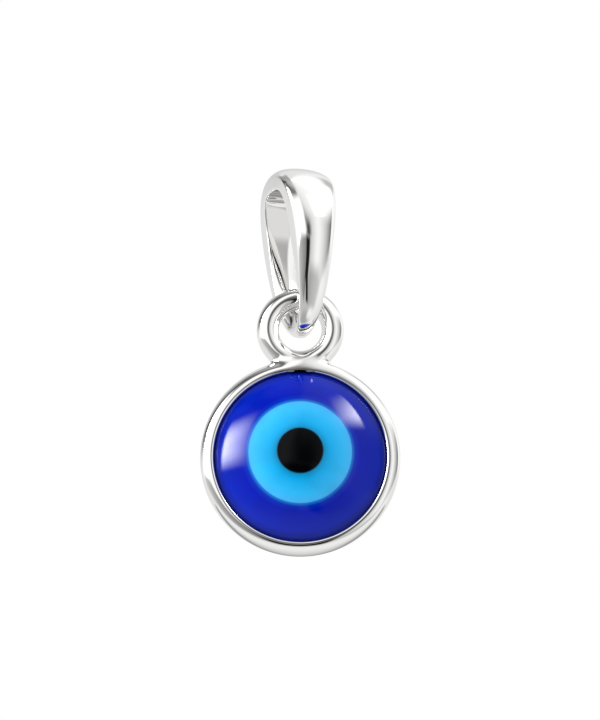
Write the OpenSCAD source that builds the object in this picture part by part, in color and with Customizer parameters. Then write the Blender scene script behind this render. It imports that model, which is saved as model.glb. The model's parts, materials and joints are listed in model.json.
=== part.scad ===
// Evil eye pendant: a round silver setting with a domed glass eye, a ring soldered on its top,
// and a domed teardrop bail that carries the ring. Millimetres, +Z up, the eye faces -Y.
// The origin is the inside top of the bail, where a chain bears.

/* [Setting] */
// Outer diameter of the round setting
bezel_d = 10.8; // [9:0.1:14]
// Depth of the setting from its flat back to the crest of its rim
bezel_depth = 1.6; // [1.5:0.05:2.4]
// Thickness of the closed back plate
back_t = 0.5; // [0.4:0.05:0.7]
// Radius of the large rounding outside the rim's crest
rim_round = 0.6; // [0.4:0.02:0.7]
// Radius of the small rounding inside the rim's crest
lip_round = 0.16; // [0.1:0.01:0.25]
// Radius of the rounding round the back edge
back_round = 1; // [0.4:0.05:1]

/* [Glass eye] */
// Height of the glass dome above the edge where the lip holds it
dome_h = 1.76; // [1.2:0.02:2.4]
// Width of the glass that the lip covers all round
lip_cover = 0.1; // [0.06:0.01:0.16]
// Diameter of the light blue iris
iris_d = 5.56; // [4:0.02:7]
// Diameter of the black pupil
pupil_d = 2.46; // [1.5:0.02:3.4]
// Thickness of the iris and of the pupil at their edges
inlay_t = 0.35; // [0.2:0.05:0.5]
// Gap between the glass pieces, and between the glass and the metal
glass_gap = 0.03; // [0.02:0.005:0.04]

/* [Soldered ring] */
// Diameter of the ring's round wire
ring_wire = 1.2; // [0.9:0.05:1.4]
// Inner diameter of the ring
ring_hole = 2.32; // [2.1:0.02:3]
// How far the ring is sunk into the side of the setting
ring_sink = 0.66; // [0.4:0.02:0.9]
// Distance of the ring's middle plane in front of the flat back
ring_from_back = 0.8; // [0.7:0.05:0.9]
// Radius of the solder fillets beside the ring
solder_round = 0.25; // [0.15:0.05:0.5]
// Front to back thickness of the solder
solder_t = 0.8; // [0.5:0.05:0.9]

/* [Bail] */
// Outer height of the bail
bail_h = 9.44; // [8.5:0.02:12]
// Outer front to back depth of the bail at its widest
bail_depth = 6.1; // [5.8:0.1:7]
// Width of the bail across its top
bail_w_top = 3.08; // [2.8:0.02:3.4]
// Width of the bail across its bottom
bail_w_bottom = 0.85; // [0.6:0.05:0.9]
// Metal thickness at the crest of the top
bail_t_top = 1.34; // [1:0.02:1.6]
// Metal thickness at the crest where the bail is deepest
bail_t_leg = 1.49; // [1.2:0.01:1.54]
// Metal thickness at the crest of the bottom
bail_t_bottom = 1.42; // [1.3:0.02:1.6]
// Height of the bail's straight side edges above its inner face, on the legs and the top
bail_edge = 0.66; // [0.35:0.01:0.7]
// Height of the side edges at the bottom
bail_edge_bottom = 1.07; // [0.95:0.01:1.1]
// How far the inner face is rounded at the bottom, where the ring bears
bail_seat_round = 0.85; // [0.7:0.01:0.87]
// Bevel along the bail's inner edges
bail_bevel = 0.08; // [0.04:0.01:0.1]
// Running gap between the ring's wire and the inside bottom of the bail
hang_gap = 0.15; // [0.1:0.01:0.24]
// Turn of the bail about the vertical
bail_turn = 21; // [10:1:23]
// Sideways lean of the bail on the ring
bail_lean = 1.6; // [0:0.2:4]

/* [Hidden] */

$fn = 96;
SILVER = [0.83, 0.83, 0.84];
COBALT = [0.02, 0.08, 0.62];
SKY = [0.22, 0.68, 0.95];
BLACK = [0.02, 0.02, 0.02];

// Overlap of two solids that are joined, so that no faces lie on each other
bite = 0.03;

// Setting and glass, as radii from the eye's axis and heights above the flat back
bezel_r = bezel_d / 2;
crest_r = bezel_r - rim_round;
back_r = min(back_round, bezel_depth - rim_round);
lip_r = crest_r - lip_round;
lip_z = bezel_depth - lip_round;
glass_r = lip_r + lip_cover;
cavity_r = glass_r + glass_gap;
glass_edge_r = lip_r - glass_gap;
dome_r = (glass_edge_r * glass_edge_r + dome_h * dome_h) / (2 * dome_h);
dome_z = lip_z + dome_h - dome_r;
glass_floor = back_t + glass_gap;
function dome_at(r) = dome_z + sqrt(dome_r * dome_r - r * r);
girdle_z = dome_at(glass_r);
cavity_z = girdle_z + glass_gap;
iris_r = iris_d / 2;
pupil_r = pupil_d / 2;
iris_floor = dome_at(iris_r) - inlay_t;
pupil_floor = dome_at(pupil_r) - inlay_t;

// Ring, measured from the setting's centre
wire_r = ring_wire / 2;
ring_r = ring_hole / 2 + wire_r;
ring_rise = bezel_r + ring_r + wire_r - ring_sink;

// Bail, measured from the hinge, which is the centre of the wire at the top of the ring
bail_open_h = bail_h - bail_t_top - bail_t_bottom;
bail_open_d = bail_depth - 2 * bail_t_leg;
bail_in_bottom = -wire_r - hang_gap;
bail_in_top = bail_in_bottom + bail_open_h;
hinge_x = bail_in_top * sin(bail_lean);
hinge_z = -bail_in_top * cos(bail_lean);

// Shapes of the two loops of the bail's side view, its inner face and its outer crest. Half a loop
// runs from its bottom to its top as two cubic curves that meet where it is deepest.
// Columns BOTTOM and TOP are the curves' handles there, as shares of half the loop's depth.
// Column DEEPEST is the place of the deepest point, as a share of the loop's height.
// Columns BELOW and ABOVE are the handles at that point, as shares of the heights on each side.
BOTTOM = 0;
TOP = 1;
DEEPEST = 2;
BELOW = 3;
ABOVE = 4;
INNER_LOOP = [0.89, 0.75, 0.65, 0.43, 0.84];
OUTER_LOOP = [0.55, 0.55, 0.59, 0.31, 0.44];
// Handle of the bail's width above its bottom, as a share of the top width
WIDTH_HANDLE = 0.7;
// Share of the half loop, from the bottom, along which the inner face is rounded
SEAT_END = 0.55;
// Share of the half loop over which the changes of width and seat set in softly at the bottom
SOFT_START = 0.08;
// Fullness of the crown: 2 is an ellipse, and more is fuller
CROWN_POWER = 2.2;

// Stations round the half loop, and points over the crown and over the inner face
half_stations = 36;
crown_points = 14;
inner_points = 8;
// Steps of each quarter round in the setting's section
arc_steps = 8;

function cubic(a, b, c, d, t) =
    pow(1 - t, 3) * a + 3 * pow(1 - t, 2) * t * b + 3 * (1 - t) * t * t * c + pow(t, 3) * d;

// Point [depth, height] at share t of a half loop of the given size and shape
function loop_point(t, low, height, depth, shape) =
    let (half = depth / 2, above = height * (1 - shape[DEEPEST]), below = height * shape[DEEPEST],
         deep_z = low + below, top_z = low + height)
    t < 0.5
    ? cubic([0, low], [half * shape[BOTTOM], low],
            [half, deep_z - below * shape[BELOW]], [half, deep_z], 2 * t)
    : cubic([half, deep_z], [half, deep_z + above * shape[ABOVE]],
            [half * shape[TOP], top_z], [0, top_z], 2 * t - 1);

function inner_point(t) = loop_point(t, bail_in_bottom, bail_open_h, bail_open_d, INNER_LOOP);
function outer_point(t) =
    loop_point(t, bail_in_bottom - bail_t_bottom, bail_h, bail_depth, OUTER_LOOP);

// Share t of the half loop, with a level start so that the two halves meet without a corner
function eased(t) =
    (norm([t, SOFT_START]) - SOFT_START) / (norm([1, SOFT_START]) - SOFT_START);
function half_width(t) =
    cubic(bail_w_bottom, bail_w_top * WIDTH_HANDLE, bail_w_top, bail_w_top, eased(t)) / 2;

// Share of the bottom's rounding that is left at share t of the half loop
function seat_share(t) = max(0, 1 - eased(t) / SEAT_END);
function seat_round(t) = bail_seat_round * pow(seat_share(t), 2);
function edge_height(t) = bail_edge + (bail_edge_bottom - bail_edge) * pow(seat_share(t), 3);
function full(s) = sign(s) * pow(abs(s), 2 / CROWN_POWER);

// Section of the bail as [across, out from the inner face] pairs: over the crown, then back
// along the inner face between its bevels
function section(w, thick, edge, hollow) = concat(
    [for (i = [0:crown_points])
        let (a = 180 * i / crown_points)
        [w * full(cos(a)), edge + (thick - edge) * full(sin(a))]],
    [[-w, hollow + bail_bevel]],
    [for (i = [0:inner_points])
        let (a = 180 * (1 - i / inner_points))
        [(w - bail_bevel) * cos(a), hollow * (1 - sin(a))]],
    [[w, hollow + bail_bevel]]);

// One section placed on the loop at share t, on the front leg or mirrored to the rear leg
function station(t, side) =
    let (a = inner_point(t), b = outer_point(t), thick = norm(b - a), out = (b - a) / thick)
    [for (p = section(half_width(t), thick, edge_height(t), seat_round(t)))
        let (q = a + out * p[1])
        [p[0], -side * q[0], q[1]]];

module bail() {
    count = 2 * half_stations;
    rings = [for (k = [0:count - 1])
        k <= half_stations ? station(k / half_stations, 1)
                           : station((count - k) / half_stations, -1)];
    m = len(rings[0]);
    points = [for (r = rings) each r];
    faces = [for (k = [0:count - 1]) for (j = [0:m - 1])
        let (a = k * m + j, b = k * m + (j + 1) % m, k2 = (k + 1) % count,
             c = k2 * m + (j + 1) % m, d = k2 * m + j)
        each [[a, b, c], [a, c, d]]];
    color(SILVER)
        translate([hinge_x, 0, hinge_z])
            rotate([0, -bail_lean, 0])
                rotate([0, 0, bail_turn])
                    polyhedron(points = points, faces = faces, convexity = 6);
}

// Puts a shape that is drawn about the eye's axis, with its back at height 0, in its place
module at_eye() {
    translate([hinge_x, ring_from_back, hinge_z - ring_r - ring_rise])
        rotate([90, 0, 0])
            children();
}

// Points of an arc about a centre, from one angle to another
function arc(centre, r, from, to) =
    [for (i = [0:arc_steps])
        let (a = from + (to - from) * i / arc_steps)
        centre + r * [cos(a), sin(a)]];

// Half section of the setting without its cavity: back, rounded edge, side, rim and lip
module bezel_outline() {
    polygon(concat(
        [[0, 0]],
        arc([bezel_r - back_r, back_r], back_r, -90, 0),
        arc([crest_r, bezel_depth - rim_round], rim_round, 0, 90),
        arc([crest_r, lip_z], lip_round, 90, 180),
        [[0, lip_z]]));
}

// Half section of the seat for the glass. The lip's underside slants along the dome, and the
// mouth that it leaves open widens upwards.
module seat_outline() {
    polygon([[0, back_t], [cavity_r, back_t], [cavity_r, cavity_z], [lip_r, lip_z],
             [0, lip_z + lip_r]]);
}

module ring() {
    translate([0, ring_rise, ring_from_back])
        rotate_extrude()
            translate([ring_r, 0])
                circle(r = wire_r);
}

// Solder in the corner between ring and setting on one side, hollowed by a round that bites a
// little into both
module solder_fillet() {
    ring_out = ring_r + wire_r;
    to_ring = ring_out + solder_round - bite;
    to_bezel = bezel_r + solder_round - bite;
    y = (to_bezel * to_bezel - to_ring * to_ring + ring_rise * ring_rise) / (2 * ring_rise);
    x = sqrt(to_bezel * to_bezel - y * y);
    ring_centre = [0, ring_rise];
    hollow = [x, y];
    translate([0, 0, ring_from_back - solder_t / 2])
        linear_extrude(solder_t)
            difference() {
                polygon([[0, bezel_r - ring_sink / 2], hollow * bezel_r / to_bezel, hollow,
                         ring_centre + (hollow - ring_centre) * ring_out / to_ring]);
                translate(hollow)
                    circle(r = solder_round);
            }
}

module bezel_setting() {
    color(SILVER)
        at_eye()
            difference() {
                union() {
                    rotate_extrude()
                        bezel_outline();
                    ring();
                    solder_fillet();
                    mirror([1, 0, 0])
                        solder_fillet();
                }
                rotate_extrude()
                    seat_outline();
            }
}

// The glass cabochon as one solid, before its parts are told apart
module cabochon(r, floor_z) {
    intersection() {
        translate([0, 0, floor_z])
            cylinder(r = r, h = dome_z + dome_r);
        translate([0, 0, dome_z])
            sphere(r = dome_r);
    }
}

module glass_dome() {
    color(COBALT)
        at_eye()
            difference() {
                cabochon(glass_r, glass_floor);
                translate([0, 0, iris_floor - glass_gap])
                    cylinder(r = iris_r + glass_gap, h = dome_h);
            }
}

module iris() {
    color(SKY)
        at_eye()
            difference() {
                cabochon(iris_r, iris_floor);
                translate([0, 0, pupil_floor - glass_gap])
                    cylinder(r = pupil_r + glass_gap, h = dome_h);
            }
}

module pupil() {
    color(BLACK)
        at_eye()
            cabochon(pupil_r, pupil_floor);
}

bail();
bezel_setting();
glass_dome();
iris();
pupil();
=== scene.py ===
"""Evil eye pendant: its finished surfaces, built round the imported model.

The classes hold the object's sizes in millimetres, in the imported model's own frame: +Z up, the
eye faces -Y, and the origin is the inside top of the bail. A mesh is scaled to metres as it is
made. Every surface is shaped in numbers, so that the polished metal reflects evenly.
"""

from __future__ import annotations

import json
import logging
import math
from dataclasses import dataclass, field
from enum import Enum
from typing import Callable

import bmesh
import bpy
import numpy as np
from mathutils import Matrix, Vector

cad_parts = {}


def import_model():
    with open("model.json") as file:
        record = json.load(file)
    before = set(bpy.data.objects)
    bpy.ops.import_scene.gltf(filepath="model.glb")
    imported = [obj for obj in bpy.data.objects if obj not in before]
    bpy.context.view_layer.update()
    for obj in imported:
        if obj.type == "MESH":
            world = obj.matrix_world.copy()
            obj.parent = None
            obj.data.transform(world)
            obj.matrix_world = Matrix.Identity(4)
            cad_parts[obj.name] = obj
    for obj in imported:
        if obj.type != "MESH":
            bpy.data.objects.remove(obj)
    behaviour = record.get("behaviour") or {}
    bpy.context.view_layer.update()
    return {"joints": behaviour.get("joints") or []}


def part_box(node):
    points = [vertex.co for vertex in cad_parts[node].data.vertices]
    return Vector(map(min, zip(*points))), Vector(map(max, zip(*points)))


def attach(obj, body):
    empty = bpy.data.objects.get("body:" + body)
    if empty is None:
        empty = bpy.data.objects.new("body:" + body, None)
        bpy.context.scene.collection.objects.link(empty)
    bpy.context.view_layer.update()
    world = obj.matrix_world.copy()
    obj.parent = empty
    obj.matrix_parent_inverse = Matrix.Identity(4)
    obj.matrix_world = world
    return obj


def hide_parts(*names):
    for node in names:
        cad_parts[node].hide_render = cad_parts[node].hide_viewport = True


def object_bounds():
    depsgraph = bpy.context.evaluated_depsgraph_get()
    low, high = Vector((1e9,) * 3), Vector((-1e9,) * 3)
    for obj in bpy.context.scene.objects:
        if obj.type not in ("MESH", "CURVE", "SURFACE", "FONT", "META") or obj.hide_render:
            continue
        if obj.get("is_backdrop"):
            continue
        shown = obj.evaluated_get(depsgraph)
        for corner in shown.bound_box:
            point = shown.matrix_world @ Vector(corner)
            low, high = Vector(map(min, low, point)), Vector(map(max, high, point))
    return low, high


MM = 0.001
log = logging.getLogger("evil_eye_pendant")

Points = np.ndarray
Distance = Callable[[Points], np.ndarray]


class Body(Enum):
    """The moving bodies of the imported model."""

    BAIL = "bail"
    DROP = "drop"


class Slot(Enum):
    """The record's material slots."""

    SILVER = "silver"
    COBALT = "cobalt_glass"
    SKY = "sky_glass"
    BLACK = "black_glass"


def unit(vectors: Points) -> Points:
    """Scales vectors to length one.

    Args:
        vectors: An array whose last axis holds the vectors.

    Returns:
        The array of unit vectors.
    """
    length = np.linalg.norm(vectors, axis=-1, keepdims=True)
    return vectors / np.maximum(length, 1e-12)


def arc(centre: tuple[float, float], radius: float, start: float, end: float, steps: int) -> Points:
    """Lays points along an arc in a plane.

    Args:
        centre: The arc's centre.
        radius: Its radius.
        start: Its first angle, in degrees.
        end: Its last angle, in degrees.
        steps: The number of steps along it.

    Returns:
        Points of shape (steps + 1, 2).
    """
    angle = np.radians(np.linspace(start, end, steps + 1))
    return np.column_stack([centre[0] + radius * np.cos(angle), centre[1] + radius * np.sin(angle)])


def line(start: tuple[float, float], end: tuple[float, float], steps: int) -> Points:
    """Lays points along a straight line in a plane, without its last point.

    Args:
        start: The first point.
        end: The point that follows the last one.
        steps: The number of steps along it.

    Returns:
        Points of shape (steps, 2).
    """
    share = np.linspace(0, 1, steps, endpoint=False)[:, None]
    return np.array(start) * (1 - share) + np.array(end) * share


def cubic(a: Points, b: Points, c: Points, d: Points, t: np.ndarray) -> Points:
    """Evaluates a cubic curve.

    Args:
        a: The first point.
        b: The first handle.
        c: The second handle.
        d: The last point.
        t: The shares along the curve.

    Returns:
        One value or point for each share.
    """
    t = t[:, None] if np.ndim(a) else t
    return (1 - t) ** 3 * a + 3 * (1 - t) ** 2 * t * b + 3 * (1 - t) * t**2 * c + t**3 * d


def make_mesh(name: str, points: Points, faces: list[tuple[int, ...]],
              crease: float = 40.0) -> bpy.types.Object:
    """Makes a smooth-shaded mesh object from points in millimetres.

    Args:
        name: The object's name.
        points: The vertices, in millimetres, of shape (n, 3).
        faces: The faces, as tuples of vertex numbers.
        crease: Edges sharper than this angle in degrees stay sharp.

    Returns:
        The new object, linked to the scene.
    """
    mesh = bpy.data.meshes.new(name)
    mesh.from_pydata((np.asarray(points) * MM).tolist(), [], faces)
    mesh.validate()
    mesh.shade_smooth()
    mesh.set_sharp_from_angle(angle=math.radians(crease))
    piece = bpy.data.objects.new(name, mesh)
    bpy.context.scene.collection.objects.link(piece)
    return piece


def grid_faces(rows: int, columns: int, wrap_rows: bool, wrap_columns: bool) -> list[tuple[int, ...]]:
    """Lists the quads of a grid of vertices that is numbered row by row.

    Args:
        rows: The number of rows.
        columns: The number of vertices in a row.
        wrap_rows: Whether the last row joins the first.
        wrap_columns: Whether a row's last vertex joins its first.

    Returns:
        The quads.
    """
    row_ends = rows if wrap_rows else rows - 1
    column_ends = columns if wrap_columns else columns - 1
    faces = []
    for r in range(row_ends):
        for c in range(column_ends):
            right = (c + 1) % columns
            above = (r + 1) % rows
            faces.append((r * columns + c, r * columns + right, above * columns + right, above * columns + c))
    return faces


def dress(piece: bpy.types.Object, finish: bpy.types.Material, body: Body, slot: Slot, *nodes: str) -> None:
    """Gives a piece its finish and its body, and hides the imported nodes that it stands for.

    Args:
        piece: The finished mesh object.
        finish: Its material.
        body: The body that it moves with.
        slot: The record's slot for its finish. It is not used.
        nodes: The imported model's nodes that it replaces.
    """
    if not piece.data.materials:
        piece.data.materials.append(finish)
    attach(piece, body.value)
    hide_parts(*nodes)


class NodeTree:
    """A short way to write shader nodes."""

    def __init__(self, tree: bpy.types.NodeTree) -> None:
        """Clears the tree.

        Args:
            tree: The node tree of a material or a world.
        """
        self.tree = tree
        tree.nodes.clear()

    def add(self, kind: str, inputs: dict | None = None, **settings: object) -> bpy.types.Node:
        """Adds a node.

        Args:
            kind: The node's type name.
            inputs: Values or output sockets by input name or number.
            settings: Properties of the node itself.

        Returns:
            The node.
        """
        node = self.tree.nodes.new(kind)
        for name, value in settings.items():
            setattr(node, name, value)
        for name, value in (inputs or {}).items():
            if isinstance(value, bpy.types.NodeSocket):
                self.tree.links.new(value, node.inputs[name])
            else:
                node.inputs[name].default_value = value
        return node

    def math(self, operation: str, *values: object) -> bpy.types.NodeSocket:
        """Adds a maths node.

        Args:
            operation: The node's operation.
            values: Its numbers or input sockets.

        Returns:
            The result's socket.
        """
        return self.add("ShaderNodeMath", dict(enumerate(values)), operation=operation).outputs[0]

    def ramp(self, value: bpy.types.NodeSocket, low: float, high: float, start: float, end: float,
             smooth: bool = True) -> bpy.types.NodeSocket:
        """Maps a range of values to another, and holds it at both ends.

        Args:
            value: The value's socket.
            low: The value that gives start.
            high: The value that gives end.
            start: The first result.
            end: The last result.
            smooth: Whether the result eases in and out.

        Returns:
            The result's socket.
        """
        inputs = {0: value, 1: low, 2: high, 3: start, 4: end}
        kind = "SMOOTHSTEP" if smooth else "LINEAR"
        return self.add("ShaderNodeMapRange", inputs, interpolation_type=kind).outputs[0]

    def blend(self, share: bpy.types.NodeSocket, first: object, second: object) -> bpy.types.NodeSocket:
        """Mixes two colours.

        Args:
            share: The share of the second.
            first: The first colour or its socket.
            second: The second colour or its socket.

        Returns:
            The mixed colour's socket.
        """
        node = self.add("ShaderNodeMix", data_type="RGBA")
        colours = [socket for socket in node.inputs if socket.type == "RGBA"]
        self.tree.links.new(share, node.inputs[0])
        for socket, value in zip(colours, (first, second)):
            if isinstance(value, bpy.types.NodeSocket):
                self.tree.links.new(value, socket)
            else:
                socket.default_value = value
        return next(socket for socket in node.outputs if socket.type == "RGBA")


@dataclass(frozen=True)
class PolishedSilver:
    """Bright silver, with the faint waviness that hand polishing leaves.

    Fields that end in _mm are lengths in millimetres on the object.
    """

    name: str = "polished_silver"
    colour: tuple[float, float, float] = (0.93, 0.926, 0.918)
    roughness_low: float = 0.022
    roughness_high: float = 0.05
    haze_mm: float = 1.4
    wave_mm: float = 1.1
    wave_height_mm: float = 0.0012
    grain_mm: float = 0.09
    grain_height_mm: float = 0.00008

    def make(self) -> bpy.types.Material:
        """Builds the material."""
        material = bpy.data.materials.new(self.name)
        material.use_nodes = True
        nodes = NodeTree(material.node_tree)
        place = nodes.add("ShaderNodeTexCoord").outputs["Object"]
        haze = self.noise(nodes, place, self.haze_mm, 3.0)
        roughness = nodes.ramp(haze, 0.35, 0.7, self.roughness_low, self.roughness_high)
        wave = self.noise(nodes, place, self.wave_mm, 1.0)
        grain = self.noise(nodes, place, self.grain_mm, 2.0)
        height = nodes.math("MULTIPLY", wave, self.wave_height_mm * MM)
        height = nodes.math("MULTIPLY_ADD", grain, self.grain_height_mm * MM, height)
        bump = nodes.add("ShaderNodeBump", {"Height": height, "Distance": 1.0, "Strength": 1.0})
        shader = nodes.add("ShaderNodeBsdfPrincipled", {
            "Base Color": (*self.colour, 1.0),
            "Metallic": 1.0,
            "Roughness": roughness,
            "Normal": bump.outputs["Normal"],
        })
        nodes.add("ShaderNodeOutputMaterial", {"Surface": shader.outputs[0]})
        return material

    @staticmethod
    def noise(nodes: NodeTree, place: bpy.types.NodeSocket, size_mm: float,
              detail: float) -> bpy.types.NodeSocket:
        """Adds soft noise.

        Args:
            nodes: The material's nodes.
            place: The coordinate's socket, in metres.
            size_mm: The width of a spot.
            detail: The number of finer layers.

        Returns:
            The socket of a value from 0 to 1.
        """
        inputs = {"Vector": place, "Scale": 1 / (size_mm * MM), "Detail": detail}
        return nodes.add("ShaderNodeTexNoise", inputs).outputs[0]


@dataclass(frozen=True)
class CabochonGlass:
    """Glossy opaque glass, whose colour changes softly with the distance from the eye's axis.

    Each colour stands at a radius in millimetres. A colour that darkens towards the rim is painted
    shade, for the shade under the setting's lip and on the dome's turning edge, with some deeper tone
    of the glass near the metal. The gloss is below real glass's 0.5, so that the pale surroundings
    don't grey the colours. Faint clouds and a slow wave in the surface keep it from looking flat.
    """

    name: str
    stops: tuple[tuple[float, tuple[float, float, float]], ...]
    gloss: float
    roughness: float = 0.04
    ior: float = 1.52
    cloud_mm: float = 1.6
    cloud_low: float = 0.93
    cloud_high: float = 1.05
    wave_mm: float = 2.4
    wave_height_mm: float = 0.002

    def make(self, centre: tuple[float, float]) -> bpy.types.Material:
        """Builds the material.

        Args:
            centre: X and Z of the eye's axis, in millimetres.

        Returns:
            The material.
        """
        material = bpy.data.materials.new(self.name)
        material.use_nodes = True
        nodes = NodeTree(material.node_tree)
        place = nodes.add("ShaderNodeTexCoord").outputs["Object"]
        flat = nodes.add("ShaderNodeVectorMath", {0: place, 1: (1.0, 0.0, 1.0)}, operation="MULTIPLY")
        middle = (centre[0] * MM, 0.0, centre[1] * MM)
        radius = nodes.add("ShaderNodeVectorMath", {0: flat.outputs[0], 1: middle}, operation="DISTANCE")
        colour = self.rings(nodes, radius.outputs["Value"])
        cloud = PolishedSilver.noise(nodes, place, self.cloud_mm, 2.0)
        depth = nodes.ramp(cloud, 0.3, 0.7, self.cloud_low, self.cloud_high)
        tone = nodes.add("ShaderNodeVectorMath", {0: colour, "Scale": depth}, operation="SCALE")
        wave = PolishedSilver.noise(nodes, place, self.wave_mm, 1.0)
        height = nodes.math("MULTIPLY", wave, self.wave_height_mm * MM)
        bump = nodes.add("ShaderNodeBump", {"Height": height, "Distance": 1.0, "Strength": 1.0})
        shader = nodes.add("ShaderNodeBsdfPrincipled", {
            "Base Color": tone.outputs[0],
            "Roughness": self.roughness,
            "IOR": self.ior,
            "Specular IOR Level": self.gloss,
            "Normal": bump.outputs["Normal"],
        })
        nodes.add("ShaderNodeOutputMaterial", {"Surface": shader.outputs[0]})
        return material

    def rings(self, nodes: NodeTree, radius: bpy.types.NodeSocket) -> bpy.types.NodeSocket:
        """Colours the glass by its radius.

        Args:
            nodes: The material's nodes.
            radius: The radius's socket, in metres.

        Returns:
            The colour's socket.
        """
        reach = self.stops[-1][0]
        share = nodes.math("DIVIDE", radius, reach * MM)
        node = nodes.add("ShaderNodeValToRGB", {0: share})
        points = node.color_ramp.elements
        while len(points) < len(self.stops):
            points.new(1.0)
        for point, (place, colour) in zip(points, self.stops):
            point.position = place / reach
            point.color = (*colour, 1.0)
        return node.outputs[0]


@dataclass
class Bail:
    """The domed teardrop loop that the chain runs through and the ring hangs in.

    Half a loop runs from its bottom to its top as two cubic curves that meet where it is deepest.
    A loop's shape lists, as shares: the bottom's and the top's handles, the place of the deepest
    point, and the handles below and above it.
    """

    hinge: tuple[float, float, float]
    height: float = 9.44
    depth: float = 6.1
    top_width: float = 3.08
    bottom_width: float = 0.85
    top_thickness: float = 1.34
    leg_thickness: float = 1.49
    bottom_thickness: float = 1.42
    edge: float = 0.66
    bottom_edge: float = 1.07
    seat_round: float = 0.85
    bevel: float = 0.08
    wire_radius: float = 0.6
    hang_gap: float = 0.15
    turn: float = 21.0
    lean: float = 1.6
    inner_loop: tuple[float, ...] = (0.89, 0.75, 0.65, 0.43, 0.84)
    outer_loop: tuple[float, ...] = (0.55, 0.55, 0.59, 0.31, 0.44)
    width_handle: float = 0.7
    seat_end: float = 0.55
    soft_start: float = 0.08
    crown_power: float = 2.2
    half_stations: int = 120
    crown_points: int = 48
    side_points: int = 4
    bevel_points: int = 5
    inner_points: int = 16

    @property
    def inner_bottom(self) -> float:
        """Height of the inner face's bottom above the hinge."""
        return -self.wire_radius - self.hang_gap

    def loop(self, t: np.ndarray, low: float, height: float, depth: float,
             shape: tuple[float, ...]) -> Points:
        """Places points on half a loop of the side view.

        Args:
            t: Shares of the half loop, from its bottom to its top.
            low: Height of its bottom.
            height: Its height.
            depth: Its whole depth.
            shape: Its shape's shares.

        Returns:
            Points as depth and height, of shape (n, 2).
        """
        bottom, top, deepest, under, over = shape
        half = depth / 2
        below = height * deepest
        above = height - below
        deep_z = low + below
        top_z = low + height
        lower = cubic(np.array([0, low]), np.array([half * bottom, low]),
                      np.array([half, deep_z - below * under]), np.array([half, deep_z]), 2 * t)
        upper = cubic(np.array([half, deep_z]), np.array([half, deep_z + above * over]),
                      np.array([half * top, top_z]), np.array([0, top_z]), 2 * t - 1)
        return np.where(t[:, None] < 0.5, lower, upper)

    def eased(self, t: np.ndarray) -> np.ndarray:
        """Gives the shares a level start, so that the two halves meet without a corner."""
        soft = self.soft_start
        return (np.hypot(t, soft) - soft) / (math.hypot(1, soft) - soft)

    def half_width(self, t: np.ndarray) -> np.ndarray:
        """Half the bail's width at shares of the half loop."""
        handle = self.top_width * self.width_handle
        return cubic(self.bottom_width, handle, self.top_width, self.top_width, self.eased(t)) / 2

    def section(self, width: float, thick: float, edge: float, hollow: float) -> Points:
        """Draws one closed section.

        Args:
            width: Half its width.
            thick: Its thickness at the crest.
            edge: Height of its straight sides.
            hollow: Depth of the inner face's rounding.

        Returns:
            Points as across and out from the inner face: over the crown, down a side, over the
            inner face and up the other side.
        """
        def full(value: np.ndarray) -> np.ndarray:
            return np.sign(value) * np.abs(value) ** (2 / self.crown_power)

        angle = np.linspace(0, math.pi, self.crown_points + 1)
        crown = np.column_stack([width * full(np.cos(angle)), edge + (thick - edge) * full(np.sin(angle))])
        low = hollow + self.bevel
        left = line((-width, edge), (-width, low), self.side_points)[1:]
        left_bevel = arc((self.bevel - width, low), self.bevel, 180, 270, self.bevel_points)
        angle = np.linspace(math.pi, 0, self.inner_points + 1)[1:-1]
        inner = np.column_stack([(width - self.bevel) * np.cos(angle), hollow * (1 - np.sin(angle))])
        right_bevel = arc((width - self.bevel, low), self.bevel, 270, 360, self.bevel_points)
        right = line((width, low), (width, edge), self.side_points)[1:]
        return np.vstack([crown, left, left_bevel, inner, right_bevel, right])

    def stations(self) -> Points:
        """Places every section round the loop, as an array of shape (stations, points, 3)."""
        t = np.linspace(0, 1, self.half_stations + 1)
        open_height = self.height - self.top_thickness - self.bottom_thickness
        open_depth = self.depth - 2 * self.leg_thickness
        inner = self.loop(t, self.inner_bottom, open_height, open_depth, self.inner_loop)
        outer_bottom = self.inner_bottom - self.bottom_thickness
        outer = self.loop(t, outer_bottom, self.height, self.depth, self.outer_loop)
        thick = np.linalg.norm(outer - inner, axis=1)
        out = unit(outer - inner)
        seat = np.maximum(0, 1 - self.eased(t) / self.seat_end)
        edge = self.edge + (self.bottom_edge - self.edge) * seat**3
        width = self.half_width(t)
        rows = []
        for k in range(len(t)):
            section = self.section(width[k], thick[k], edge[k], self.seat_round * seat[k] ** 2)
            place = inner[k] + out[k] * section[:, 1:]
            rows.append(np.column_stack([section[:, 0], -place[:, 0], place[:, 1]]))
        front = np.array(rows)
        rear = front[-2:0:-1] * np.array([1, -1, 1])
        return np.concatenate([front, rear])

    def place(self, points: Points) -> Points:
        """Turns and leans points about the hinge, and puts them in the object's frame."""
        turn = math.radians(self.turn)
        lean = math.radians(self.lean)
        about_z = np.array([
            [math.cos(turn), -math.sin(turn), 0], [math.sin(turn), math.cos(turn), 0], [0, 0, 1],
        ])
        about_y = np.array([
            [math.cos(lean), 0, -math.sin(lean)], [0, 1, 0], [math.sin(lean), 0, math.cos(lean)],
        ])
        return points @ about_z.T @ about_y.T + np.array(self.hinge)

    def build(self, finish: bpy.types.Material) -> bpy.types.Object:
        """Makes the bail.

        Args:
            finish: The silver.

        Returns:
            The bail's object.
        """
        points = self.place(self.stations())
        rows, columns, _ = points.shape
        piece = make_mesh("silver_bail", points.reshape(-1, 3), grid_faces(rows, columns, True, True))
        dress(piece, finish, Body.BAIL, Slot.SILVER, "bail")
        return piece


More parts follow.
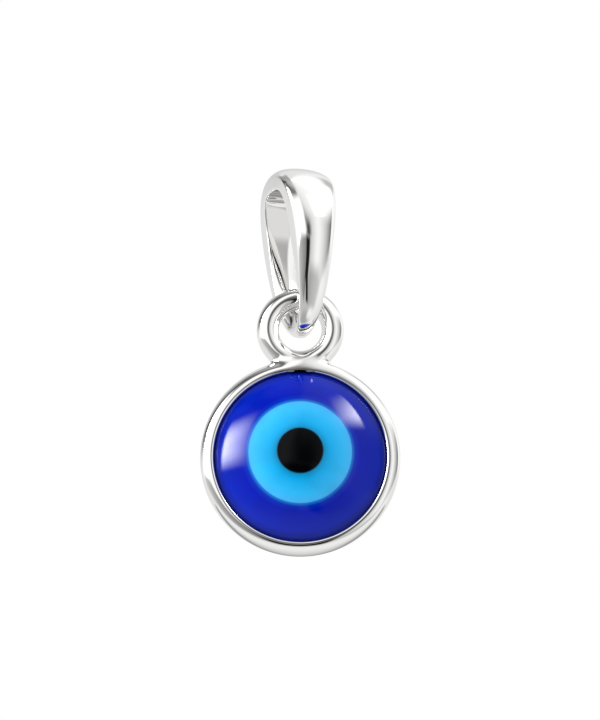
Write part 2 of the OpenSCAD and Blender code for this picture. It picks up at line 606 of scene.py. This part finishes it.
@dataclass
class Setting:
    """The round setting and the ring that is soldered on its top, as one solid.

    Its own frame has X to the right, Y up and the height above the flat back, all from the eye's
    axis. The eye's axis stands at centre, and the flat back at back_y.
    """

    centre: tuple[float, float]
    back_y: float
    radius: float
    depth: float
    hinge_z: float
    back_thickness: float = 0.5
    rim_round: float = 0.6
    lip_round: float = 0.16
    back_round: float = 1.0
    lip_cover: float = 0.1
    glass_gap: float = 0.03
    dome_height: float = 1.76
    wire_radius: float = 0.6
    hole_radius: float = 1.16
    ring_height: float = 0.8
    solder: float = 0.42
    segments: int = 384
    ring_segments: int = 224
    wire_segments: int = 72
    fine_edge: float = 0.035
    smooth_margin: float = 0.02
    on_surface: float = 0.002

    @property
    def ring_radius(self) -> float:
        """Radius of the ring's centre line."""
        return self.hole_radius + self.wire_radius

    @property
    def ring_rise(self) -> float:
        """Height of the ring's centre above the eye's axis."""
        return self.hinge_z - self.centre[1] - self.ring_radius

    @property
    def crest_radius(self) -> float:
        """Radius of the rim's crest."""
        return self.radius - self.rim_round

    @property
    def lip_radius(self) -> float:
        """Radius of the lip's inner edge."""
        return self.crest_radius - self.lip_round

    @property
    def lip_height(self) -> float:
        """Height of the lip's inner edge above the back."""
        return self.depth - self.lip_round

    @property
    def cavity_top(self) -> float:
        """Height at which the lip's underside meets the cavity's wall."""
        return self.dome_at(self.lip_radius + self.lip_cover) + self.glass_gap

    def dome_at(self, radius: float) -> float:
        """Height of the glass dome above the back at a radius from the axis."""
        edge = self.lip_radius - self.glass_gap
        dome_radius = (edge**2 + self.dome_height**2) / (2 * self.dome_height)
        return self.lip_height + self.dome_height - dome_radius + math.sqrt(dome_radius**2 - radius**2)

    def to_frame(self, points: Points) -> Points:
        """Moves points from the setting's own frame to the object's."""
        across, up, height = points.T
        return np.column_stack([self.centre[0] + across, self.back_y - height, self.centre[1] + up])

    def profile(self) -> Points:
        """Draws the half section from the back's middle round the rim and the lip to the seat's middle."""
        crest = self.crest_radius
        lip = self.lip_radius
        lip_height = self.lip_height
        cavity = lip + self.lip_cover + self.glass_gap
        return np.vstack([
            line((0, 0), (self.radius - self.back_round, 0), 10),
            arc((self.radius - self.back_round, self.back_round), self.back_round, -90, 0, 24)[:-1],
            arc((crest, self.depth - self.rim_round), self.rim_round, 0, 90, 30)[:-1],
            arc((crest, lip_height), self.lip_round, 90, 180, 12)[:-1],
            line((lip, lip_height), (cavity, self.cavity_top), 2),
            line((cavity, self.cavity_top), (cavity, self.back_thickness), 3),
            line((cavity, self.back_thickness), (0, self.back_thickness), 6),
            [[0, self.back_thickness]],
        ])

    def lathe(self) -> tuple[Points, list[tuple[int, ...]]]:
        """Turns the half section about the axis, as vertices and faces."""
        profile = self.profile()
        rim = profile[1:-1]
        angle = np.linspace(0, 2 * math.pi, self.segments, endpoint=False)
        grid = np.stack([
            rim[:, :1] * np.cos(angle),
            rim[:, :1] * np.sin(angle),
            np.repeat(rim[:, 1:], self.segments, axis=1),
        ], axis=-1).reshape(-1, 3)
        points = np.vstack([grid, [[0, 0, profile[0, 1]], [0, 0, profile[-1, 1]]]])
        faces = grid_faces(len(rim), self.segments, False, True)
        last = (len(rim) - 1) * self.segments
        for k in range(self.segments):
            after = (k + 1) % self.segments
            faces.append((len(grid), after, k))
            faces.append((len(grid) + 1, last + k, last + after))
        return points, faces

    def torus(self) -> tuple[Points, list[tuple[int, ...]]]:
        """Makes the ring's vertices and faces."""
        around = np.linspace(0, 2 * math.pi, self.ring_segments, endpoint=False)[:, None]
        across = np.linspace(0, 2 * math.pi, self.wire_segments, endpoint=False)[None]
        reach = self.ring_radius + self.wire_radius * np.cos(across)
        height = self.ring_height + self.wire_radius * np.sin(across)
        points = np.stack([
            reach * np.cos(around),
            self.ring_rise + reach * np.sin(around),
            np.broadcast_to(height, (self.ring_segments, self.wire_segments)),
        ], axis=-1).reshape(-1, 3)
        return points, grid_faces(self.ring_segments, self.wire_segments, True, True)

    def wall_distance(self, points: Points) -> np.ndarray:
        """Distance of points outside or inside the setting's outer wall, rim and back edge."""
        reach = np.hypot(points[:, 0], points[:, 1])
        height = points[:, 2]
        join = self.depth - self.rim_round
        low = height < join
        corner = np.where(low, self.radius - self.back_round, self.crest_radius)
        rounding = np.where(low, self.back_round, self.rim_round)
        return np.hypot(np.maximum(reach - corner, 0), height - join) - rounding

    def ring_distance(self, points: Points) -> np.ndarray:
        """Distance of points outside or inside the ring's wire."""
        reach = np.hypot(points[:, 0], points[:, 1] - self.ring_rise) - self.ring_radius
        return np.hypot(reach, points[:, 2] - self.ring_height) - self.wire_radius

    def joined_distance(self, points: Points) -> np.ndarray:
        """Distance from the wall and the ring together, with solder filling the corner."""
        wall = self.wall_distance(points)
        ring = self.ring_distance(points)
        near = np.maximum(self.solder - np.abs(wall - ring), 0) / self.solder
        return np.minimum(wall, ring) - near**2 * self.solder / 4

    @staticmethod
    def slope(distance: Distance, points: Points, step: float = 1e-4) -> Points:
        """Works out how a distance grows at points.

        Args:
            distance: The distance's function.
            points: The points.
            step: The length of the test step.

        Returns:
            The gradients.
        """
        columns = []
        for axis in range(3):
            shift = np.zeros(3)
            shift[axis] = step
            columns.append((distance(points + shift) - distance(points - shift)) / (2 * step))
        return np.column_stack(columns)

    def settle(self, points: Points, steps: int = 4) -> Points:
        """Moves points onto the joined surface of wall, ring and solder."""
        for _ in range(steps):
            gradient = self.slope(self.joined_distance, points)
            size = np.maximum((gradient**2).sum(axis=1), 1e-9)
            points = points - gradient * (self.joined_distance(points) / size)[:, None]
        return points

    def union(self) -> bmesh.types.BMesh:
        """Joins the turned setting and the ring into one closed mesh, in the setting's own frame."""
        wall = make_mesh("wall_shape", self.lathe()[0], self.lathe()[1])
        ring = make_mesh("ring_shape", self.torus()[0], self.torus()[1])
        join = wall.modifiers.new("join", "BOOLEAN")
        join.operation = "UNION"
        join.solver = "EXACT"
        join.object = ring
        joined = wall.evaluated_get(bpy.context.evaluated_depsgraph_get())
        shape = bmesh.new()
        shape.from_mesh(joined.to_mesh())
        joined.to_mesh_clear()
        for part in (wall, ring):
            mesh = part.data
            bpy.data.objects.remove(part)
            bpy.data.meshes.remove(mesh)
        return shape

    def near_solder(self, points: Points, margin: float) -> np.ndarray:
        """Marks the points that lie near both the wall and the ring."""
        wall = np.abs(self.wall_distance(points))
        ring = np.abs(self.ring_distance(points))
        return np.maximum(wall, ring) < self.solder + margin

    def refine(self, shape: bmesh.types.BMesh) -> None:
        """Cuts the edges near the solder until they are fine enough to carry its round.

        Args:
            shape: The joined mesh, in metres.
        """
        bmesh.ops.remove_doubles(shape, verts=shape.verts, dist=self.fine_edge * MM / 4)
        for _ in range(3):
            points = np.array([v.co for v in shape.verts]) / MM
            near = self.near_solder(points, self.fine_edge)
            shape.verts.index_update()
            faces = [f for f in shape.faces if any(near[v.index] for v in f.verts)]
            bmesh.ops.triangulate(shape, faces=faces)
            shape.verts.index_update()
            edges = [e for e in shape.edges if all(near[v.index] for v in e.verts)
                     and e.calc_length() > 1.5 * self.fine_edge * MM]
            if not edges:
                break
            bmesh.ops.subdivide_edges(shape, edges=edges, cuts=1)
        faces = [f for f in shape.faces if len(f.verts) > 4]
        bmesh.ops.triangulate(shape, faces=faces)

    def relax(self, shape: bmesh.types.BMesh, rounds: int = 8) -> Points:
        """Spreads the vertices near the solder evenly over the joined surface.

        Args:
            shape: The refined mesh, in metres.
            rounds: The number of passes.

        Returns:
            The vertices in millimetres.
        """
        shape.verts.ensure_lookup_table()
        shape.verts.index_update()
        points = np.array([v.co for v in shape.verts]) / MM
        moving = np.nonzero(self.near_solder(points, 0.0))[0]
        ties = [[e.other_vert(shape.verts[k]).index for e in shape.verts[k].link_edges] for k in moving]
        counts = np.array([len(tie) for tie in ties])
        flat = np.concatenate([np.array(tie) for tie in ties])
        starts = np.concatenate([[0], np.cumsum(counts)[:-1]])
        points[moving] = self.settle(points[moving])
        for _ in range(rounds):
            mean = np.add.reduceat(points[flat], starts) / counts[:, None]
            points[moving] = self.settle(0.5 * points[moving] + 0.5 * mean, 2)
        return points

    def build(self, finish: bpy.types.Material) -> bpy.types.Object:
        """Makes the setting with its ring.

        Args:
            finish: The silver.

        Returns:
            The setting's object.
        """
        shape = self.union()
        self.refine(shape)
        points = self.relax(shape)
        settled = np.abs(self.joined_distance(points)) < self.on_surface
        smooth = self.near_solder(points, self.smooth_margin) & settled
        normals = np.zeros_like(points)
        own = unit(self.slope(self.joined_distance, points[smooth]))
        normals[smooth] = np.column_stack([own[:, 0], -own[:, 2], own[:, 1]])
        faces = [tuple(v.index for v in f.verts) for f in shape.faces]
        shape.free()
        piece = make_mesh("silver_setting", self.to_frame(points), faces)
        mesh = piece.data
        corners = np.zeros(len(mesh.loops), dtype=int)
        mesh.loops.foreach_get("vertex_index", corners)
        mesh.normals_split_custom_set(normals[corners].tolist())
        dress(piece, finish, Body.DROP, Slot.SILVER, "bezel_setting")
        return piece


@dataclass
class GlassEye:
    """The domed glass: a cobalt dome with a light blue iris and a black pupil let into it."""

    centre: tuple[float, float]
    back_y: float
    radius: float
    iris_radius: float
    pupil_radius: float
    apex: float
    girdle: float
    floor: float = 0.53
    inlay: float = 0.35
    segments: int = 256
    finishes: dict[str, CabochonGlass] = field(default_factory=dict)

    @property
    def dome_radius(self) -> float:
        """Radius of the sphere that the dome is part of."""
        rise = self.apex - self.girdle
        return (self.radius**2 + rise**2) / (2 * rise)

    def dome_at(self, radius: float | np.ndarray) -> float | np.ndarray:
        """Height of the dome above the setting's back at a radius from the axis."""
        return self.apex - self.dome_radius + np.sqrt(self.dome_radius**2 - np.asarray(radius) ** 2)

    def disc(self, name: str, inner: float, outer: float, steps: int, outer_floor: float,
             inner_floor: float) -> bpy.types.Object:
        """Makes one closed piece of the dome.

        Args:
            name: The piece's name.
            inner: Radius of the recess in its middle, or 0 for none.
            outer: Its outer radius.
            steps: The number of rings over its domed face.
            outer_floor: Height of its underside.
            inner_floor: Height of the recess's floor.

        Returns:
            The piece's object.
        """
        reach = np.linspace(inner, outer, steps + 1)
        top = np.column_stack([reach, self.dome_at(reach)])
        profile = np.vstack([top, [[outer, outer_floor]]])
        if inner:
            profile = np.vstack([[[inner, inner_floor]], profile])
            middle_top = inner_floor
        else:
            profile = profile[1:]
            middle_top = self.apex
        angle = np.linspace(0, 2 * math.pi, self.segments, endpoint=False)
        grid = np.stack([
            self.centre[0] + profile[:, :1] * np.cos(angle),
            np.repeat(self.back_y - profile[:, 1:], self.segments, axis=1),
            self.centre[1] + profile[:, :1] * np.sin(angle),
        ], axis=-1).reshape(-1, 3)
        poles = [[self.centre[0], self.back_y - middle_top, self.centre[1]],
                 [self.centre[0], self.back_y - outer_floor, self.centre[1]]]
        points = np.vstack([grid, poles])
        faces = grid_faces(len(profile), self.segments, False, True)
        last = (len(profile) - 1) * self.segments
        for k in range(self.segments):
            after = (k + 1) % self.segments
            faces.append((len(grid), after, k))
            faces.append((len(grid) + 1, last + k, last + after))
        return make_mesh(name, points, faces)

    def build(self) -> list[bpy.types.Object]:
        """Makes the three pieces of glass."""
        iris_floor = float(self.dome_at(self.iris_radius)) - self.inlay
        pupil_floor = float(self.dome_at(self.pupil_radius)) - self.inlay
        plan = [
            ("glass_dome", "cobalt", Slot.COBALT, self.iris_radius, self.radius, 40, self.floor, iris_floor),
            ("iris", "sky", Slot.SKY, self.pupil_radius, self.iris_radius, 24, iris_floor, pupil_floor),
            ("pupil", "black", Slot.BLACK, 0.0, self.pupil_radius, 20, pupil_floor, pupil_floor),
        ]
        pieces = []
        for node, finish, slot, inner, outer, steps, low, recess in plan:
            piece = self.disc(f"{finish}_glass_{node}", inner, outer, steps, low, recess)
            dress(piece, self.finishes[finish].make(self.centre), Body.DROP, slot, node)
            pieces.append(piece)
        return pieces


@dataclass(frozen=True)
class SkyPatch:
    """One soft-edged patch of the studio's light, in degrees seen from the object.

    Azimuth 0 is in front of the eye and grows to the right, and elevation 0 is level. The light
    goes from one value at the left edge to another at the right. The side edges lean by slant
    degrees for each degree up, and the lower and the upper edge rise to the right.
    """

    left: float
    right: float
    low: float
    high: float
    value_left: float
    value_right: float
    soft_left: float = 6.0
    soft_right: float = 6.0
    soft_low: float = 6.0
    soft_high: float = 6.0
    slant: float = 0.0
    rise_low: float = 0.0
    rise_high: float = 0.0

    def paint(self, nodes: NodeTree, light: object, azimuth: bpy.types.NodeSocket,
              elevation: bpy.types.NodeSocket) -> bpy.types.NodeSocket:
        """Lays the patch over the light so far.

        Args:
            nodes: The world's nodes.
            light: The light so far, as a number or a socket.
            azimuth: The direction's azimuth.
            elevation: The direction's elevation.

        Returns:
            The new light's socket.
        """
        across = nodes.math("MULTIPLY_ADD", elevation, -self.slant, azimuth)
        above = nodes.math("MULTIPLY_ADD", azimuth, -self.rise_low, elevation)
        below = nodes.math("MULTIPLY_ADD", azimuth, -self.rise_high, elevation)
        masks = [
            nodes.ramp(across, self.left - self.soft_left, self.left + self.soft_left, 0.0, 1.0),
            nodes.ramp(across, self.right - self.soft_right, self.right + self.soft_right, 1.0, 0.0),
            nodes.ramp(above, self.low - self.soft_low, self.low + self.soft_low, 0.0, 1.0),
            nodes.ramp(below, self.high - self.soft_high, self.high + self.soft_high, 1.0, 0.0),
        ]
        share = masks[0]
        for mask in masks[1:]:
            share = nodes.math("MULTIPLY", share, mask)
        value = nodes.ramp(across, self.left, self.right, self.value_left, self.value_right, False)
        rest = nodes.math("SUBTRACT", 1.0, share)
        return nodes.math("MULTIPLY_ADD", value, share, nodes.math("MULTIPLY", light, rest))


@dataclass
class Studio:
    """A plain pale floor, the soft light round the object and the camera at the photo's angle."""

    hinge: tuple[float, float, float]
    elevation: float = -12.5
    lens: float = 200.0
    sensor: float = 36.0
    image_height: int = 720
    pixel_mm: float = 0.0543
    aim_from_hinge: tuple[float, float, float] = (-0.011, 0.0, -3.41)
    floor_z: float = -75.0
    floor_size: float = 2400.0
    base_light: float = 0.82
    backdrop: float = 1.0
    card_z: float = -20.7
    card_half: float = 13.0
    card_front: float = -3.5
    card_back: float = 3.0
    card_soft: float = 1.5
    card_change: float = 1.5
    card_light_front: float = 0.9
    card_light_back_painted_shadow: float = 0.28
    patches: tuple[SkyPatch, ...] = ()

    def camera(self) -> bpy.types.Object:
        """Sets the camera at the photo's angle, at the distance that gives its scale."""
        data = bpy.data.cameras.new("camera")
        data.lens = self.lens
        data.sensor_width = self.sensor
        camera = bpy.data.objects.new("camera", data)
        bpy.context.scene.collection.objects.link(camera)
        distance = self.image_height * self.pixel_mm * self.lens / self.sensor
        tilt = math.radians(self.elevation)
        back = Vector((0.0, -math.cos(tilt), math.sin(tilt)))
        aim = Vector(self.hinge) + Vector(self.aim_from_hinge)
        camera.location = (aim + back * distance) * MM
        camera.rotation_mode = "QUATERNION"
        camera.rotation_quaternion = (-back).to_track_quat("-Z", "Y")
        data.clip_start = 0.01
        data.clip_end = 10.0
        bpy.context.scene.camera = camera
        return camera

    def floor(self) -> bpy.types.Object:
        """Lays the pale floor. Reflections leave it out, because the light's lower half stands for it."""
        half = self.floor_size / 2
        points = [[-half, -half, self.floor_z], [half, -half, self.floor_z],
                  [half, half, self.floor_z], [-half, half, self.floor_z]]
        floor = make_mesh("studio_floor", np.array(points), [(0, 1, 2, 3)])
        material = bpy.data.materials.new("pale_floor")
        material.use_nodes = True
        nodes = NodeTree(material.node_tree)
        shader = nodes.add("ShaderNodeBsdfPrincipled", {
            "Base Color": (0.9, 0.9, 0.9, 1.0), "Roughness": 0.6, "Specular IOR Level": 0.2,
        })
        nodes.add("ShaderNodeOutputMaterial", {"Surface": shader.outputs[0]})
        floor.data.materials.append(material)
        floor.visible_glossy = False
        floor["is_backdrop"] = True
        return floor

    def floor_glow_card(self) -> bpy.types.Object:
        """Lays a small card under the object that glows in place of the lit floor: painted light. It only
        shows in reflections, and fades at its edges. It glows less behind the object: painted shadow of the
        object on that floor.
        """
        half = self.card_half + self.card_soft
        near = self.card_back + self.card_soft
        far = self.card_front - self.card_soft
        height = self.card_z
        points = [[-half, far, height], [half, far, height], [half, near, height], [-half, near, height]]
        card = make_mesh("floor_glow_card", np.array(points), [(0, 1, 2, 3)])
        material = bpy.data.materials.new("floor_glow_paint")
        material.use_nodes = True
        nodes = NodeTree(material.node_tree)
        place = nodes.add("ShaderNodeTexCoord").outputs["Object"]
        parts = nodes.add("ShaderNodeSeparateXYZ", {0: place}).outputs
        across = nodes.math("ABSOLUTE", parts[0])
        soft = self.card_soft * MM
        share = nodes.ramp(across, self.card_half * MM - soft, self.card_half * MM + soft, 1.0, 0.0)
        for low, first, last in ((self.card_front, 0.0, 1.0), (self.card_back, 1.0, 0.0)):
            edge = nodes.ramp(parts[1], low * MM - soft, low * MM + soft, first, last)
            share = nodes.math("MULTIPLY", share, edge)
        change = self.card_change * MM
        # The card glows brighter in front than behind: painted light for the lit floor, and painted shadow
        # where the object shades the floor behind it.
        strength = nodes.ramp(parts[1], -change, change, self.card_light_front, self.card_light_back_painted_shadow)
        glow = nodes.add("ShaderNodeEmission", {"Color": (1.0, 1.0, 1.0, 1.0), "Strength": strength})
        clear = nodes.add("ShaderNodeBsdfTransparent")
        mixed = nodes.add("ShaderNodeMixShader", {0: share, 1: clear.outputs[0], 2: glow.outputs[0]})
        nodes.add("ShaderNodeOutputMaterial", {"Surface": mixed.outputs[0]})
        card.data.materials.append(material)
        card.visible_camera = False
        card.visible_diffuse = False
        card.visible_shadow = False
        card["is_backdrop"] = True
        return card

    def light(self) -> None:
        """Lights the object from a world of soft panels. Seen directly, it is a plain pale backdrop."""
        world = bpy.data.worlds.new("studio_light")
        world.use_nodes = True
        bpy.context.scene.world = world
        nodes = NodeTree(world.node_tree)
        direction = nodes.add("ShaderNodeTexCoord").outputs["Generated"]
        parts = nodes.add("ShaderNodeSeparateXYZ", {0: direction}).outputs
        ahead = nodes.math("MULTIPLY", parts[1], -1.0)
        azimuth = nodes.math("DEGREES", nodes.math("ARCTAN2", parts[0], ahead))
        elevation = nodes.math("DEGREES", nodes.math("ARCSINE", parts[2]))
        light = self.base_light
        for patch in self.patches:
            light = patch.paint(nodes, light, azimuth, elevation)
        seen = nodes.add("ShaderNodeLightPath").outputs["Is Camera Ray"]
        plain = nodes.math("MULTIPLY", seen, self.backdrop)
        hidden = nodes.math("SUBTRACT", 1.0, seen)
        strength = nodes.math("MULTIPLY_ADD", light, hidden, plain)
        shader = nodes.add("ShaderNodeBackground", {"Color": (1.0, 1.0, 1.0, 1.0), "Strength": strength})
        nodes.add("ShaderNodeOutputWorld", {"Surface": shader.outputs[0]})

    def build(self) -> None:
        """Sets up the camera, the floor, the light and plain colours."""
        self.camera()
        self.floor()
        self.floor_glow_card()
        self.light()
        bpy.context.scene.view_settings.view_transform = "Standard"


STUDIO_PATCHES = (
    # Below the object: a grey surface, lighter in front and to the lower right.
    SkyPatch(-200, 200, -120, -44, 0.4, 0.4, soft_high=12),
    SkyPatch(-75, 60, -56, -20, 0.55, 0.55, 12, 12, 8, 8),
    SkyPatch(78, 130, -62, -12, 1.0, 0.78, 10, 12, 8, 8, slant=0.7),
    # Behind: a slightly darker wall on both sides, darkest straight behind.
    SkyPatch(-200, -118, 12, 48, 0.75, 0.6, 1, 14, 8, 8),
    SkyPatch(150, 200, 12, 48, 0.8, 0.66, 14, 1, 8, 8),
    SkyPatch(-200, -172, 3, 22, 0.4, 0.5, 1, 6, 6, 6),
    SkyPatch(172, 200, 3, 22, 0.5, 0.4, 6, 1, 6, 6),
    # Overhead: grey to the left, bright to the right with a dimmer corner behind.
    SkyPatch(-160, 8, 66, 120, 0.34, 0.55, 16, 14, 6, 4),
    SkyPatch(15, 150, 26, 120, 0.92, 1.35, 13, 24, 12, 6),
    SkyPatch(116, 150, 30, 62, 0.55, 0.55, 8, 12, 10, 6),
    # Upper left: grey, with a dark band that climbs and then levels out.
    SkyPatch(-128, 2, 16, 70, 0.34, 0.32, 8, 6, 8, 6),
    SkyPatch(-121, -66, 118, 133, 0.03, 0.08, 4, 8, 4, 4, rise_low=0.9, rise_high=0.9),
    SkyPatch(-72, 2, 49, 61, 0.08, 0.22, 8, 5, 3, 4),
    # Left: the white panel, and the strong part of it that the glass shows.
    SkyPatch(-116, -12, -1, 56, 1.12, 1.12, 10, 5, 3.5, 7, slant=0.3, rise_high=0.5),
    SkyPatch(-76, -48, 5, 66, 44, 2, 2, 5, 8, 10, rise_high=0.5),
    # Right: light that rises and falls again to a dark line, and its strong part for the glass.
    SkyPatch(3, 46, -24, 34, 0.45, 1.1, 4, 8, 8, 14),
    SkyPatch(46, 104, -57, 24, 0.95, 0.1, 8, 2.5, 6, 12, rise_low=0.58),
    SkyPatch(110, 145, 4, 34, 1.05, 1.0, 3, 8, 6, 6),
    SkyPatch(40, 68, 36, 52, 4, 36, 8, 2, 7, 12),
    # In front: the dark gap between the panels, the grey under them and the black slit.
    SkyPatch(-5, 14, 0, 20, 0.05, 0.1, 8, 8, 3, 12),
    SkyPatch(-97, -2, -46, -1, 0.66, 0.2, 6, 3, 6, 3, rise_low=-0.4),
    SkyPatch(8, 50, -46, -20, 0.36, 0.62, 6, 10, 5, 6, slant=-0.3),
    SkyPatch(-10, 10, -26, 0, 0.01, 0.01, 4, 4, 3, 5),
    SkyPatch(-27, -12, -45, -22, 0.01, 0.015, 4, 4, 3, 3, slant=-0.9),
)

GLASS = {
    "cobalt": CabochonGlass("cobalt_glass", gloss=0.2, stops=(
        (2.76, (0.01, 0.12, 0.38)), (2.95, (0.0, 0.016, 0.26)), (3.2, (0.0, 0.005, 0.24)),
        # The cobalt's last stop darkens it towards the rim: painted shade under the setting's lip and on the
        # dome's turning edge, with some deeper tone of the glass near the metal.
        (4.2, (0.0, 0.009, 0.25)), (4.75, (0.0, 0.003, 0.07)),
    )),
    "sky": CabochonGlass("sky_glass", gloss=0.14, stops=(
        (1.22, (0.002, 0.04, 0.09)), (1.3, (0.003, 0.15, 0.3)), (1.6, (0.003, 0.22, 0.45)),
        (2.4, (0.02, 0.28, 0.53)), (2.72, (0.036, 0.265, 0.525)), (2.79, (0.024, 0.2, 0.48)),
    )),
    "black": CabochonGlass("black_glass", gloss=0.1, stops=(
        (1.15, (0.0004, 0.0006, 0.0008)), (1.23, (0.001, 0.006, 0.011)),
    )),
}


def corners() -> tuple[list[float], list[float]]:
    """The lowest and highest corner of what is shown now, as plain lists in metres."""
    low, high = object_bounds()
    return list(low), list(high)


def millimetres(node: str) -> tuple[Vector, Vector]:
    """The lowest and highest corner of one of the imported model's nodes, in millimetres."""
    low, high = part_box(node)
    return low / MM, high / MM


def main() -> None:
    """Builds the pendant and its studio, and logs each piece."""
    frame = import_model()
    joint = frame["joints"][0]
    hinge = tuple(value / MM for value in joint["pos_m"])
    setting_low, setting_high = millimetres("bezel_setting")
    glass_low, glass_high = millimetres("glass_dome")
    iris_low, iris_high = millimetres("iris")
    pupil_low, pupil_high = millimetres("pupil")
    radius = (setting_high.x - setting_low.x) / 2
    centre = (hinge[0], setting_low.z + radius)
    back_y = setting_high.y
    silver = PolishedSilver().make()
    studio = Studio(hinge, patches=STUDIO_PATCHES)
    studio.build()
    setting = Setting(centre, back_y, radius, back_y - setting_low.y, hinge[2])
    eye = GlassEye(
        centre, back_y,
        radius=(glass_high.x - glass_low.x) / 2,
        iris_radius=(iris_high.x - iris_low.x) / 2,
        pupil_radius=(pupil_high.x - pupil_low.x) / 2,
        apex=back_y - pupil_low.y,
        girdle=setting.cavity_top - setting.glass_gap,
        finishes=GLASS,
    )
    for piece in (Bail(hinge).build(silver), setting.build(silver), *eye.build()):
        log.info("%s: %d faces", piece.name, len(piece.data.polygons))


if __name__ == "__main__":
    logging.basicConfig(level=logging.INFO, format="%(message)s")
    main()
